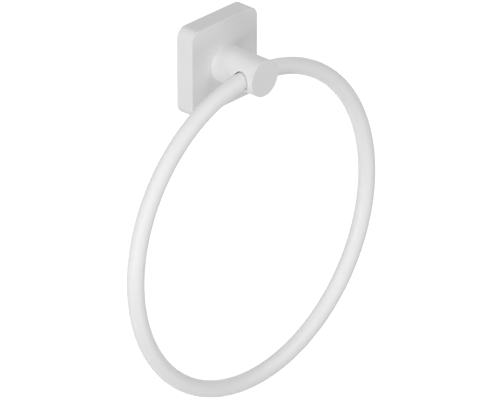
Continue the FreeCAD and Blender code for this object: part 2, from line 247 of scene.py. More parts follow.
@dataclass(frozen=True)
class PowderCoat(Finish):
    """Matt white polyester powder coat, sprayed dry and baked on cast zinc or round steel bar.

    The eye sees an even, neutral white with a broad soft sheen and no mirror image. Close by,
    the melted powder shows as a very fine orange peel.
    """

    gloss_spread: float = 0.03
    clouds: Noise = Noise(18.0, 2.0)
    # a good coat's orange peel is finer still, and is drawn this coarse so that it can show
    relief: Noise = Noise(1.1, 1.5, 0.45)
    # cured polyester resin
    ior: float = 1.5

    def nature(self) -> Inputs:
        """Make the surface a resin."""
        return {"IOR": self.ior}


@dataclass(frozen=True)
class PlatedSteel(Finish):
    """Bright zinc electroplate or black oxide on steel.

    Zinc gives the eye a cool, silvery grey with a cloudy sheen and fine marks that follow the
    way the steel was rolled or drawn. Black oxide is a thin oiled skin that leaves the steel
    nearly black with a low grey sheen.
    """

    gloss_spread: float = 0.08
    clouds: Noise = Noise(5.0, 4.0)
    # the mill's marks are finer, and are drawn this coarse so that they can show
    relief: Noise = Noise(0.35, 3.0)
    gloss_in_relief: bool = True

    def nature(self) -> Inputs:
        """Make the surface a metal."""
        return {"Metallic": 1.0}


# an even matt white; on the bar the same coat is painted a little lighter, as painted light that
# stands for the brighter light on the bar, and it is smoother
COVER_COAT = PowderCoat("powder_coat_white", "#EDEDED", "#EAEAEA", roughness=0.55)
BAR_COAT_PAINTED_LIGHTER = PowderCoat("powder_coat_white_bar_painted_lighter", "#F5F5F5", "#F2F2F2", roughness=0.5)
# a bright grey, with marks along the drawn wire that the screw was headed from
ZINC_WIRE = PlatedSteel("zinc_plate_drawn", "#CDD0D4", "#BFC3C8", roughness=0.3,
                        grain=Grain.DRAWN_ALONG_Y)
# a duller grey, with marks the way that the sheet was rolled
ZINC_SHEET = PlatedSteel("zinc_plate_rolled", "#C6CACE", "#B4B9BF", roughness=0.36,
                         grain=Grain.ROLLED_ALONG_X)
# nearly black, with a low sheen
BLACK_OXIDE = PlatedSteel("black_oxide", "#2E2E30", "#242426", roughness=0.42)


# Meshes

@dataclass
class MeshDraft:
    """Points in millimetres and the faces between them, gathered row by row."""

    points: list[Point] = field(default_factory=list)
    faces: list[tuple[int, ...]] = field(default_factory=list)

    def row(self, points: Iterable[Sequence[float]]) -> list[int]:
        """Add a row of points.

        Args:
            points: the places of the points, in millimetres.

        Returns:
            The points' numbers, in the same order.
        """
        first = len(self.points)
        self.points.extend((point[0], point[1], point[2]) for point in points)
        return list(range(first, len(self.points)))

    def bridge(self, first: Sequence[int], second: Sequence[int]) -> None:
        """Join two loops of as many points with four-sided faces.

        Args:
            first: the point numbers of one loop.
            second: the point numbers of the other loop, in the same order.
        """
        for here in range(len(first)):
            after = (here + 1) % len(first)
            self.faces.append((first[here], first[after], second[after], second[here]))

    def bridge_round(self, loops: Sequence[Sequence[int]]) -> None:
        """Join each loop to the next and the last one to the first."""
        for here, after in zip(loops, [*loops[1:], loops[0]]):
            self.bridge(here, after)

    def close(self, loop: Sequence[int], middle: Sequence[float]) -> None:
        """Fill a loop with triangles that meet at one middle point.

        Args:
            loop: the loop's point numbers.
            middle: the place of the middle point, in millimetres.
        """
        tip = self.row([middle])[0]
        for here, after in zip(loop, [*loop[1:], loop[0]]):
            self.faces.append((here, after, tip))

    def to_object(self, name: str) -> bpy.types.Object:
        """Make an object of the draft, with its faces turned outwards.

        Args:
            name: the piece's name.

        Returns:
            The new object, at the origin, in metres.
        """
        mesh = bpy.data.meshes.new(name)
        mesh.from_pydata([tuple(c * MM for c in point) for point in self.points], [], self.faces)
        built = bmesh.new()
        built.from_mesh(mesh)
        bmesh.ops.remove_doubles(built, verts=built.verts, dist=SAME_POINT_MM * MM)
        bmesh.ops.recalc_face_normals(built, faces=built.faces)
        return shown(name, built, mesh)


def shown(name: str, built: bmesh.types.BMesh, mesh: bpy.types.Mesh) -> bpy.types.Object:
    """Write a mesh under way into its mesh block and put it in the scene.

    Args:
        name: the new object's name.
        built: the mesh under way, which is freed.
        mesh: the block that takes it.

    Returns:
        The new object.
    """
    built.to_mesh(mesh)
    built.free()
    piece = bpy.data.objects.new(name, mesh)
    bpy.context.scene.collection.objects.link(piece)
    return piece


def rounded_outline(corners: Sequence[tuple[float, float, float]],
                    steps: int = 4) -> list[tuple[float, float]]:
    """Round the corners of an open outline with arcs.

    Args:
        corners: the outline's corners, each with its x, its y and its radius; 0 keeps it sharp.
        steps: how many chords an arc has.

    Returns:
        The outline's points in order.
    """
    points = []
    for number, (x, y, radius) in enumerate(corners):
        here = Vector((x, y))
        if radius <= 0 or number in (0, len(corners) - 1):
            points.append((x, y))
            continue
        before = (Vector(corners[number - 1][:2]) - here).normalized()
        after = (Vector(corners[number + 1][:2]) - here).normalized()
        half = before.angle(after) / 2
        centre = here + (before + after).normalized() * radius / math.sin(half)
        start = here + before * radius / math.tan(half) - centre
        end = here + after * radius / math.tan(half) - centre
        for step in range(steps + 1):
            arm = start.slerp(end, step / steps)
            points.append(tuple(centre + arm.normalized() * radius))
    return points


def smooth(piece: bpy.types.Object, crease_deg: float = 40.0) -> None:
    """Shade a piece smoothly, with its large faces flat and its folds crisp.

    Args:
        piece: the object to shade.
        crease_deg: two faces that meet at a larger angle than this keep a sharp edge.
    """
    piece.data.shade_smooth()
    piece.data.set_sharp_from_angle(angle=math.radians(crease_deg))
    weighted = piece.modifiers.new("even_faces", "WEIGHTED_NORMAL")
    weighted.keep_sharp = True


def settle(piece: bpy.types.Object) -> None:
    """Turn a piece's modifiers into plain mesh.

    Args:
        piece: the object whose mesh is replaced.
    """
    graph = bpy.context.evaluated_depsgraph_get()
    plain = bpy.data.meshes.new_from_object(piece.evaluated_get(graph))
    rough = piece.data
    piece.modifiers.clear()
    piece.data = plain
    bpy.data.meshes.remove(rough)


def combine(piece: bpy.types.Object, tool: bpy.types.Object, joining: Joining) -> None:
    """Cut a tool out of a piece, or weld it on, and drop the tool.

    Args:
        piece: the object that is changed.
        tool: the closed object that cuts or is added.
        joining: whether it cuts or is added.
    """
    modifier = piece.modifiers.new("tool", "BOOLEAN")
    modifier.operation = joining.value
    modifier.solver = "EXACT"
    modifier.object = tool
    settle(piece)
    bpy.data.objects.remove(tool)


def finish_piece(piece: bpy.types.Object, coat: bpy.types.Material, slot: Slot, body: Body,
                 *nodes: str) -> None:
    """Dress a piece, let it ride on its body and stand for its solids, and report it.

    Args:
        piece: the finished mesh.
        coat: its material.
        slot: the material slot that it belongs to; not used.
        body: the body that it moves with.
        nodes: the solids that it stands for.
    """
    piece.data.materials.clear()
    piece.data.materials.append(coat)
    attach(piece, body.value)
    if nodes:
        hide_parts(*nodes)
    LOG.info("%s: %d faces, %s, on %s", piece.name, len(piece.data.polygons), coat.name, body.value)


def box_mm(node: str) -> tuple[Vector, Vector]:
    """A solid's lowest and highest corner, in millimetres."""
    low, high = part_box(node)
    return Vector(low) / MM, Vector(high) / MM


def ring_sizes() -> tuple[Vector, float, float]:
    """Measure the ring's solid.

    Returns:
        Its centre, the radius of its bar and the radius of its bar's centre line.
    """
    low, high = box_mm("ring")
    bar = (high.y - low.y) / 2
    return (low + high) / 2, bar, (high.x - low.x) / 2 - bar


@dataclass
class Lathe:
    """Loops of points round an axis, for turned pieces with sockets and flats."""

    draft: MeshDraft
    origin: Vector
    along: Vector
    # a multiple of 6, so that a hexagon's corners fall on columns
    columns: int = 72

    def loop(self, height: float, radius: float | Reach) -> list[int]:
        """Add one loop round the axis.

        Args:
            height: where the loop's plane cuts the axis, from the origin.
            radius: one radius, or a function from the angle in radians to a radius.

        Returns:
            The loop's point numbers.
        """
        across = self.along.cross(ALONG_X)
        points = []
        for column in range(self.columns):
            angle = math.tau * column / self.columns
            reach = radius(angle) if callable(radius) else radius
            points.append(self.origin + self.along * height
                          + (ALONG_X * math.cos(angle) + across * math.sin(angle)) * reach)
        return self.draft.row(points)

    def turn(self, outline: Iterable[tuple[float | Reach, float]],
             after: list[int] | None = None) -> list[int]:
        """Sweep an outline of radii and heights round the axis.

        Args:
            outline: pairs of radius and height.
            after: a loop that the first new loop is joined to.

        Returns:
            The last loop.
        """
        last = after
        for radius, height in outline:
            loop = self.loop(height, radius)
            if last is not None:
                self.draft.bridge(last, loop)
            last = loop
        return last

    def cap(self, loop: list[int], height: float) -> None:
        """Close a loop at a point on the axis."""
        self.draft.close(loop, self.origin + self.along * height)


def hexagon(flats: float) -> Reach:
    """The radius of a hexagon, by angle.

    Args:
        flats: its size across flats.

    Returns:
        A function from the angle to the radius.
    """
    sector = math.pi / 3

    def radius(angle: float) -> float:
        """The distance from the axis to the hexagon's edge."""
        return flats / 2 / math.cos((angle % sector) - sector / 2)

    return radius


def two_flats(radius: float, flats: float) -> Reach:
    """The radius of a circle with two flats, by angle.

    Args:
        radius: the circle's radius.
        flats: the size across the flats.

    Returns:
        A function from the angle to the radius.
    """
    least_cosine = 1e-6

    def reach(angle: float) -> float:
        """The distance from the axis to the flatted circle's edge."""
        return min(radius, flats / 2 / max(abs(math.cos(angle)), least_cosine))

    return reach


def threaded(crest: float, pitch: float, height: float, limit: float, neck: float = 0.0,
             faded: float = 0.0) -> Reach:
    """The radius of a metric thread at one height, by angle.

    Args:
        crest: the thread's outer radius.
        pitch: the rise of one turn.
        height: the place along the axis.
        limit: the radius that the thread is held under, where an end is chamfered.
        neck: the radius that the thread runs out to.
        faded: how far it has run out at this height, from 0 to 1.

    Returns:
        A function from the angle to the radius.
    """

    def radius(angle: float) -> float:
        """The distance from the axis to the thread's edge.

        Args:
            angle: the place round the axis, in radians.

        Returns:
            The radius there.
        """
        phase = (height / pitch - angle / math.tau) % 1.0
        # the two flanks share what the crest and the root leave
        from_crest = abs(phase - 0.5) * 2
        share = min(max((from_crest - CREST_SHARE) / (1 - CREST_SHARE - ROOT_SHARE), 0.0), 1.0)
        cut = crest - THREAD_DEPTH * pitch * share
        return min(cut + (neck - cut) * faded, limit)

    return radius


# Pieces

@dataclass
class HangingRing:
    """The closed round ring of bar stock."""

    stations: int = 480
    columns: int = 48

    def build(self) -> bpy.types.Object:
        """Build the bar as a torus about its own centre.

        Returns:
            The ring's object.
        """
        centre, bar, circle = ring_sizes()
        draft = MeshDraft()
        rows = []
        for station in range(self.stations):
            turn = math.tau * station / self.stations
            outward = Vector((math.sin(turn), 0.0, math.cos(turn)))
            points = []
            for column in range(self.columns):
                angle = math.tau * column / self.columns
                reach = circle + bar * math.cos(angle)
                points.append(centre + outward * reach + ALONG_Y * (bar * math.sin(angle)))
            rows.append(draft.row(points))
        draft.bridge_round(rows)
        piece = draft.to_object("ring_bar")
        smooth(piece)
        return piece

    def dress(self, piece: bpy.types.Object) -> None:
        """Give the ring its coat."""
        # the bar's white is painted lighter than the cover's, standing for the brighter light on
        # the bar
        finish_piece(piece, BAR_COAT_PAINTED_LIGHTER.material(), Slot.WHITE_COAT_RING, Body.TOWEL_RING, "ring")


@dataclass
class BoredPost:
    """The turned post with a cross bore near its end, a flatted spigot and a tapped back."""

    bore_room: float = 0.15
    bore_edge: float = 0.15
    chamfer: float = 0.3
    chamfer_edge: float = 0.2
    spigot_radius: float = 6.0
    spigot_flats: float = 9.5
    spigot_edge: float = 0.2
    tapped_radius: float = 3.05
    tapped_depth: float = 12.0
    # the side wall is a grid of columns, with a window round each mouth of the bore
    columns: int = 144
    window_columns: int = 24
    window_rows: int = 20
    window_rings: int = 6
    rim_steps: int = 5
    bore_rows: int = 10
    radius: float = field(init=False)
    base: float = field(init=False)
    end: float = field(init=False)
    spigot_end: float = field(init=False)
    bore_radius: float = field(init=False)
    bore_y: float = field(init=False)
    bore_z: float = field(init=False)

    def __post_init__(self) -> None:
        """Take the post's place and size from the frame."""
        low, high = box_mm("post")
        cover_low, _ = box_mm("cover_plate")
        self.radius = (high.x - low.x) / 2
        self.end = low.y
        self.base = cover_low.y
        self.spigot_end = high.y
        # the ring swings about the bore's axis, and its bar sags by its curve inside the bore
        _, self.bore_y, self.bore_z = (place / MM for place in frame["joints"][0]["pos_m"])
        _, bar, circle = ring_sizes()
        sag = circle - math.sqrt(circle ** 2 - self.radius ** 2)
        self.bore_radius = bar + sag / 2 + self.bore_room

    def on_side(self, angle: float, y: float) -> Point:
        """A point of the side wall, by its angle from +X towards +Z."""
        return (self.radius * math.cos(angle), y, self.radius * math.sin(angle))

    def build(self) -> bpy.types.Object:
        """Build the post.

        Returns:
            The post's object.
        """
        draft = MeshDraft()
        window_front = self.end + self.chamfer + self.chamfer_edge
        window_back = 2 * self.bore_y - window_front
        rows = [window_back + (window_front - window_back) * k / self.window_rows
                for k in range(self.window_rows + 1)]
        grid = self._side_wall(draft, rows)
        right, left = (self._mouth(draft, grid, rows, side) for side in (1, -1))
        self._tunnel(draft, right, left)
        self._ends(draft, [grid[0][c] for c in range(self.columns)],
                   [grid[-1][c] for c in range(self.columns)])
        piece = draft.to_object("post_turned")
        smooth(piece)
        return piece

    def _side_wall(self, draft: MeshDraft, rows: list[float]) -> list[dict[int, int]]:
        """Lay the side wall along the bore, with a window left open for each mouth.

        Args:
            draft: the mesh under way.
            rows: the y of each row.

        Returns:
            The wall's point numbers, by row and column.
        """
        step = math.tau / self.columns
        half_turn = self.columns // 2
        grid: list[dict[int, int]] = []
        for number, y in enumerate(rows):
            inside = 0 < number < self.window_rows
            known = {}
            for column in range(self.columns):
                from_mouth = min(column % half_turn, half_turn - column % half_turn)
                if not inside or from_mouth >= self.window_columns:
                    known[column] = draft.row([self.on_side(column * step, y)])[0]
            grid.append(known)
        for upper, lower in zip(grid, grid[1:]):
            for column in range(self.columns):
                after = (column + 1) % self.columns
                if (column + self.window_columns) % half_turn >= 2 * self.window_columns:
                    draft.faces.append((upper[column], upper[after], lower[after], lower[column]))
        return grid

    def _mouth(self, draft: MeshDraft, grid: list[dict[int, int]], rows: list[float],
               side: int) -> list[int]:
        """Fill one window of the side wall up to the bore and round the bore's rim.

        Args:
            draft: the mesh under way.
            grid: the side wall's points, by row and column.
            rows: the y of each row.
            side: 1 for the mouth at +X, -1 for the one at -X.

        Returns:
            The loop where the rounded rim meets the bore.
        """
        step = math.tau / self.columns
        half = self.window_columns
        last = self.window_rows
        border = ([(0, c) for c in range(-half, half)]
                  + [(k, half) for k in range(last)]
                  + [(last, c) for c in range(half, -half, -1)]
                  + [(k, -half) for k in range(last, 0, -1)])

        def column_of(offset: int) -> int:
            """The grid's column at an offset from this mouth's middle."""
            return (offset if side > 0 else self.columns // 2 - offset) % self.columns

        previous = [grid[k][column_of(c)] for k, c in border]
        edge_points = [(c * step, rows[k]) for k, c in border]
        headings = [math.atan2(self.radius * angle - self.bore_z, y - self.bore_y)
                    for angle, y in edge_points]
        centres = [self._rim_centre(heading) for heading in headings]
        for ring in range(1, self.window_rings + 1):
            share = ring / self.window_rings
            points = []
            for (angle, y), centre in zip(edge_points, centres):
                rim_angle = math.atan2(centre.z, centre.x)
                x, height, z = self.on_side(angle + (rim_angle - angle) * share,
                                            y + (centre.y - y) * share)
                points.append((side * x, height, z))
            loop = draft.row(points)
            draft.bridge(previous, loop)
            previous = loop
        for number in range(1, self.rim_steps + 1):
            share = number / self.rim_steps
            points = []
            for centre, heading in zip(centres, headings):
                outward = Vector((centre.x, 0.0, centre.z)).normalized()
                inward = Vector((0.0, -math.cos(heading), -math.sin(heading)))
                point = centre + outward.slerp(inward, share) * self.bore_edge
                points.append((side * point.x, point.y, point.z))
            loop = draft.row(points)
            draft.bridge(previous, loop)
            previous = loop
        return previous

    def _rim_centre(self, heading: float) -> Vector:
        """Find the middle of the rim's rounding where the rim is met at one heading.

        Args:
            heading: the angle round the bore's axis, in radians.

        Returns:
            The place that lies as deep under the side wall as under the bore's wall.
        """
        around = self.bore_radius + self.bore_edge
        z = self.bore_z + around * math.sin(heading)
        return Vector((math.sqrt((self.radius - self.bore_edge) ** 2 - z ** 2),
                       self.bore_y + around * math.cos(heading), z))

    def _tunnel(self, draft: MeshDraft, right: list[int], left: list[int]) -> None:
        """Join the two rims with the bore's wall.

        Args:
            draft: the mesh under way.
            right: the loop inside the rim at +X.
            left: the loop inside the rim at -X.
        """
        previous = right
        for number in range(1, self.bore_rows):
            share = number / self.bore_rows
            points = []
            for first, second in zip(right, left):
                start = Vector(draft.points[first])
                points.append(start.lerp(Vector(draft.points[second]), share))
            loop = draft.row(points)
            draft.bridge(previous, loop)
            previous = loop
        draft.bridge(previous, left)

    def _ends(self, draft: MeshDraft, back: list[int], front: list[int]) -> None:
        """Close the front with its chamfer and the back with its spigot and tapped hole.

        Args:
            draft: the mesh under way.
            back: the side wall's loop nearest the wall.
            front: the side wall's loop nearest the end face.
        """
        lathe = Lathe(draft, Vector(), ALONG_Y, self.columns)
        # this lathe runs its angle from +X towards -Z, so the side wall's loops are turned about
        front = [front[0], *reversed(front[1:])]
        back = [back[0], *reversed(back[1:])]
        edge = rounded_outline([(self.radius, self.end + self.chamfer + self.chamfer_edge, 0.0),
                                (self.radius, self.end + self.chamfer, self.chamfer_edge),
                                (self.radius - self.chamfer, self.end, self.chamfer_edge),
                                (self.radius / 2, self.end, 0.0)])
        last = lathe.turn(edge[1:], front)
        lathe.cap(last, self.end)
        soft = self.spigot_edge
        spigot = two_flats(self.spigot_radius, self.spigot_flats)
        small = two_flats(self.spigot_radius - soft, self.spigot_flats - 2 * soft)
        tapped_end = self.spigot_end - self.tapped_depth
        last = lathe.turn([(self.radius, self.base),
                           (spigot, self.base), (spigot, self.spigot_end - soft),
                           (small, self.spigot_end),
                           (self.tapped_radius + soft, self.spigot_end),
                           (self.tapped_radius, self.spigot_end - soft),
                           (self.tapped_radius, tapped_end)], back)
        lathe.cap(last, tapped_end - DRILL_POINT * self.tapped_radius)

    def dress(self, piece: bpy.types.Object) -> None:
        """Give the post its coat."""
        finish_piece(piece, COVER_COAT.material(), Slot.WHITE_COAT, Body.WALL_MOUNT, "post")


@dataclass
class CoverPlate:
    """The cast cover: a square shell with soft corners, a spigot hole and a tapped lug."""

    corner: float = 6.0
    least_corner: float = 0.5
    wall: float = 2.5
    front: float = 3.0
    front_edge: float = 0.4
    rim_edge: float = 0.2
    inner_edge: float = 0.5
    seat_radius: float = 6.1
    seat_flats: float = 9.7
    lug_half: float = 4.0
    lug_setback: float = 0.8
    lug_top: float = 19.5
    lug_edge: float = 0.4
    lug_edge_steps: int = 3
    tapped_radius: float = 2.05
    tapped_flare: float = 0.25
    # how far the cutter of the tapped hole stands out at both ends
    cutter_overrun: float = 1.0
    cutter_columns: int = 64
    corner_steps: int = 12
    side_steps: int = 12

    def square(self, draft: MeshDraft, half: float, corner: float, y: float) -> list[int]:
        """Add a loop round a square with round corners.

        Args:
            draft: the mesh under way.
            half: half of the square's side.
            corner: the corners' radius.
            y: the loop's place along the post's axis.

        Returns:
            The loop's point numbers, from the middle of the right side, anticlockwise.
        """
        straight = half - corner
        quarter = []
        for step in range(self.side_steps):
            quarter.append((half, straight * step / self.side_steps))
        for step in range(self.corner_steps + 1):
            angle = math.pi / 2 * step / self.corner_steps
            quarter.append((straight + corner * math.cos(angle),
                            straight + corner * math.sin(angle)))
        for step in range(1, self.side_steps):
            quarter.append((straight * (1 - step / self.side_steps), half))
        points = []
        for turn in range(4):
            for x, z in quarter:
                for _ in range(turn):
                    x, z = -z, x
                points.append((x, y, z))
        return draft.row(points)

    def opening(self, draft: MeshDraft, like: list[int], y: float) -> list[int]:
        """Add the flatted hole's loop.

        Args:
            draft: the mesh under way.
            like: a loop round it, whose points give this one its angles.
            y: the loop's place along the post's axis.

        Returns:
            The loop's point numbers.
        """
        reach = two_flats(self.seat_radius, self.seat_flats)
        points = []
        for number in like:
            x, _, z = draft.points[number]
            angle = math.atan2(z, x)
            points.append((reach(angle) * math.cos(angle), y, reach(angle) * math.sin(angle)))
        return draft.row(points)

    def build(self) -> bpy.types.Object:
        """Build the cover as one closed shell, then add its lug and tap it.

        Returns:
            The cover's object.
        """
        low, high = box_mm("cover_plate")
        half = (high.x - low.x) / 2
        depth = -low.y
        inner = half - self.wall
        floor = -(depth - self.front)
        draft = MeshDraft()
        outside = rounded_outline([(half - self.wall / 2, 0.0, 0.0), (half, 0.0, self.rim_edge),
                                   (half, -depth, self.front_edge), (half / 2, -depth, 0.0)])
        inside = rounded_outline([(inner / 2, floor, 0.0), (inner, floor, self.inner_edge),
                                  (inner, 0.0, self.rim_edge), (half - self.wall / 2, 0.0, 0.0)])

        def rounds(outline: list[tuple[float, float]]) -> list[list[int]]:
            """Add a loop for each point of an outline, with corners that share one centre.

            Args:
                outline: half of each loop's side, and its place along the post's axis.

            Returns:
                The loops' point numbers.
            """
            return [self.square(draft, reach,
                                max(self.corner - (half - reach), self.least_corner), y)
                    for reach, y in outline]

        # the last point of each outline is only where its last run points to
        loops = rounds(outside[:-1])
        loops.append(self.opening(draft, loops[-1], -depth))
        loops.append(self.opening(draft, loops[0], floor))
        loops.extend(rounds(inside[1:-1]))
        draft.bridge_round(loops)
        piece = draft.to_object("cover_cast")
        combine(piece, self._lug(inner, depth), Joining.WELD)
        combine(piece, self._tap(half), Joining.CUT)
        smooth(piece)
        return piece

    def _lug(self, inner: float, depth: float) -> bpy.types.Object:
        """Build the lug behind the lower wall, set a little into the walls that it grows from.

        Args:
            inner: half of the shell's inner width.
            depth: the cover's depth.

        Returns:
            The lug's object.
        """
        low = Vector((-self.lug_half, -(depth - self.front / 2), -(inner + self.wall / 2)))
        high = Vector((self.lug_half, -self.lug_setback, -self.lug_top))
        built = bmesh.new()
        bmesh.ops.create_cube(built, size=1.0)
        bmesh.ops.scale(built, vec=(high - low) * MM, verts=built.verts)
        bmesh.ops.translate(built, vec=(low + high) / 2 * MM, verts=built.verts)
        bmesh.ops.bevel(built, geom=built.edges[:], offset=self.lug_edge * MM,
                        segments=self.lug_edge_steps, profile=0.5, affect="EDGES")
        return shown("lug", built, bpy.data.meshes.new("lug"))

    def _tap(self, half: float) -> bpy.types.Object:
        """Build the cutter for the grub screw's hole, flared where it leaves the underside.

        Args:
            half: half of the cover's side.

        Returns:
            The cutter's object.
        """
        low, high = box_mm("grub_screw")
        draft = MeshDraft()
        lathe = Lathe(draft, ALONG_Y * (low.y + high.y) / 2, ALONG_Z, self.cutter_columns)
        wide = self.tapped_radius + self.tapped_flare
        bottom = -half - self.cutter_overrun
        top = -self.lug_top + self.cutter_overrun
        loop = lathe.loop(bottom, wide)
        lathe.cap(loop, bottom)
        last = lathe.turn([(wide, -half), (self.tapped_radius, -half + self.tapped_flare),
                           (self.tapped_radius, top)], loop)
        lathe.cap(last, top)
        return draft.to_object("tap")

    def dress(self, piece: bpy.types.Object) -> None:
        """Give the cover its coat."""
        finish_piece(piece, COVER_COAT.material(), Slot.WHITE_COAT, Body.WALL_MOUNT, "cover_plate")


@dataclass
class WallBracket:
    """The folded bracket of zinc plated sheet that the cover drops over."""

    edge: float = 0.15
    edge_steps: int = 2
    # the solid's facets are joined again where they meet at less than the first angle, and an
    # edge is broken where they meet at more than the second
    flat_deg: float = 1.0
    edge_deg: float = 50.0
    same_point: float = 1e-3

    def build(self) -> bpy.types.Object:
        """Take the bracket's solid and break its sheared edges.

        Returns:
            The bracket's object.
        """
        mesh = frame["nodes"]["wall_bracket"].data.copy()
        built = bmesh.new()
        built.from_mesh(mesh)
        bmesh.ops.remove_doubles(built, verts=built.verts, dist=self.same_point * MM)
        bmesh.ops.dissolve_limit(built, angle_limit=math.radians(self.flat_deg),
                                 verts=built.verts, edges=built.edges)
        piece = shown("bracket_folded", built, mesh)
        bevel = piece.modifiers.new("broken_edges", "BEVEL")
        bevel.width = self.edge * MM
        bevel.segments = self.edge_steps
        bevel.limit_method = "ANGLE"
        bevel.angle_limit = math.radians(self.edge_deg)
        settle(piece)
        smooth(piece)
        return piece

    def dress(self, piece: bpy.types.Object) -> None:
        """Give the bracket its zinc plate."""
        finish_piece(piece, ZINC_SHEET.material(), Slot.PLATED_SHEET, Body.WALL_MOUNT,
                     "wall_bracket")


@dataclass
class PostFixing:
    """The button head screw and the washer that hold the post from behind."""

    thread_radius: float = 3.0
    pitch: float = 1.0
    end_chamfer: float = 0.75
    # under the head the thread runs out over this length, on to a neck this much smaller
    run_out: float = 1.0
    neck_step: float = 0.3
    head_radius: float = 5.25
    head_height: float = 3.3
    head_edge: float = 1.6
    head_under_edge: float = 0.15
    head_edge_steps: int = 8
    socket_flats: float = 4.0
    socket_depth: float = 2.0
    socket_flare: float = 0.3
    socket_flare_depth: float = 0.2
    washer_hole: float = 3.2
    # the punch draws one side's edges in and leaves the other side's nearly sharp
    washer_drawn_edge: float = 0.3
    washer_sharp_edge: float = 0.1
    rows_per_turn: int = 10

    def build_screw(self) -> bpy.types.Object:
        """Build the screw with its thread and hex socket.

        Returns:
            The screw's object.
        """
        low, high = box_mm("post_screw")
        seat = high.y - self.head_height
        tip_radius = self.thread_radius - self.end_chamfer
        neck = self.thread_radius - self.neck_step
        draft = MeshDraft()
        lathe = Lathe(draft, Vector(), ALONG_Y)
        last = lathe.loop(low.y, tip_radius)
        lathe.cap(last, low.y)
        count = round((seat - low.y) / self.pitch * self.rows_per_turn)
        for number in range(1, count):
            height = low.y + (seat - low.y) * number / count
            ramp = tip_radius + (height - low.y)
            faded = min(max(0.0, height - seat + self.run_out) / self.run_out, 1.0)
            last = lathe.turn([(threaded(self.thread_radius, self.pitch, height, ramp, neck,
                                         faded), height)], last)
        head = rounded_outline([(neck, seat, 0.0), (self.head_radius, seat, self.head_under_edge),
                                (self.head_radius, high.y, self.head_edge),
                                (self.socket_flats / 2, high.y, 0.0)], self.head_edge_steps)
        last = lathe.turn(head[:-1], last)
        socket = hexagon(self.socket_flats)
        wide = hexagon(self.socket_flats + self.socket_flare)
        floor = high.y - self.socket_depth
        last = lathe.turn([(wide, high.y), (socket, high.y - self.socket_flare_depth),
                           (socket, floor)], last)
        lathe.cap(last, floor - DRILL_POINT * self.socket_flats / 2)
        piece = draft.to_object("post_screw_button")
        smooth(piece)
        return piece

    def build_washer(self) -> bpy.types.Object:
        """Build the punched washer, rounded on the edges that the punch drew in.

        Returns:
            The washer's object.
        """
        low, high = box_mm("post_washer")
        outer = (high.x - low.x) / 2
        middle = (outer + self.washer_hole) / 2
        draft = MeshDraft()
        lathe = Lathe(draft, Vector(), ALONG_Y)
        outline = rounded_outline([(middle, low.y, 0.0), (outer, low.y, self.washer_sharp_edge),
                                   (outer, high.y, self.washer_drawn_edge),
                                   (self.washer_hole, high.y, self.washer_drawn_edge),
                                   (self.washer_hole, low.y, self.washer_sharp_edge),
                                   (middle, low.y, 0.0)])
        draft.bridge_round([lathe.loop(height, radius) for radius, height in outline[:-1]])
        piece = draft.to_object("post_washer_plain")
        smooth(piece)
        return piece

    def dress(self, screw: bpy.types.Object, washer: bpy.types.Object) -> None:
        """Give both pieces their zinc plate.

        Args:
            screw: the screw's object.
            washer: the washer's object.
        """
        zinc = ZINC_WIRE.material()
        finish_piece(screw, zinc, Slot.PLATED_STEEL, Body.WALL_MOUNT, "post_screw")
        finish_piece(washer, zinc, Slot.PLATED_STEEL, Body.WALL_MOUNT, "post_washer")


@dataclass
class GrubScrew:
    """The socket set screw in the cover's underside."""

    pitch: float = 0.7
    point_radius: float = 1.0
    chamfer: float = 0.5
    socket_flats: float = 2.0
    socket_depth: float = 2.2
    socket_flare: float = 0.2
    socket_flare_depth: float = 0.1
    columns: int = 60
    rows_per_turn: int = 10

    def build(self) -> bpy.types.Object:
        """Build the screw, from its socket end up to its point.

        Returns:
            The screw's object.
        """
        low, high = box_mm("grub_screw")
        crest = (high.x - low.x) / 2
        draft = MeshDraft()
        lathe = Lathe(draft, ALONG_Y * (low.y + high.y) / 2, ALONG_Z, self.columns)
        socket = hexagon(self.socket_flats)
        wide = hexagon(self.socket_flats + self.socket_flare)
        floor = lathe.loop(low.z + self.socket_depth, socket)
        lathe.cap(floor, low.z + self.socket_depth + DRILL_POINT * self.socket_flats / 2)
        last = lathe.turn([(socket, low.z + self.socket_flare_depth), (wide, low.z),
                           (crest - self.chamfer, low.z)], floor)
        count = round((high.z - low.z) / self.pitch * self.rows_per_turn)
        for number in range(1, count):
            height = low.z + (high.z - low.z) * number / count
            limit = min(crest - self.chamfer + height - low.z, self.point_radius + high.z - height)
            last = lathe.turn([(threaded(crest, self.pitch, height, limit), height)], last)
        last = lathe.turn([(self.point_radius, high.z)], last)
        lathe.cap(last, high.z)
        piece = draft.to_object("grub_screw_socket")
        smooth(piece)
        return piece

    def dress(self, piece: bpy.types.Object) -> None:
        """Give the screw its black oxide."""
        finish_piece(piece, BLACK_OXIDE.material(), Slot.BLACK_STEEL, Body.WALL_MOUNT, "grub_screw")


# Studio

@dataclass(frozen=True)
class SoftBox:
    """One square lamp with a wide, soft face that looks at the object's middle.

    Its azimuth is 0 square in front of the wall and negative to the left of that. Its side and
    its distance are in metres, and its power is in watts.
    """

    name: str
    azimuth_deg: float
    elevation_deg: float
    side: float
    power: float
    distance: float = 2.0

    def hang(self, middle: Vector) -> None:
        """Hang the lamp and turn it to the object.

        Args:
            middle: the object's middle.
        """
        light = bpy.data.lights.new(self.name, "AREA")
        light.shape = "SQUARE"
        light.size = self.side
        light.energy = self.power
        azimuth = math.radians(self.azimuth_deg)
        elevation = math.radians(self.elevation_deg)
        away = Vector((math.sin(azimuth) * math.cos(elevation),
                       -math.cos(azimuth) * math.cos(elevation), math.sin(elevation)))
        holder = bpy.data.objects.new(self.name, light)
        holder.location = middle + away * self.distance
        holder.rotation_mode = "QUATERNION"
        holder.rotation_quaternion = (-away).to_track_quat("-Z", "Y")
        bpy.context.scene.collection.objects.link(holder)


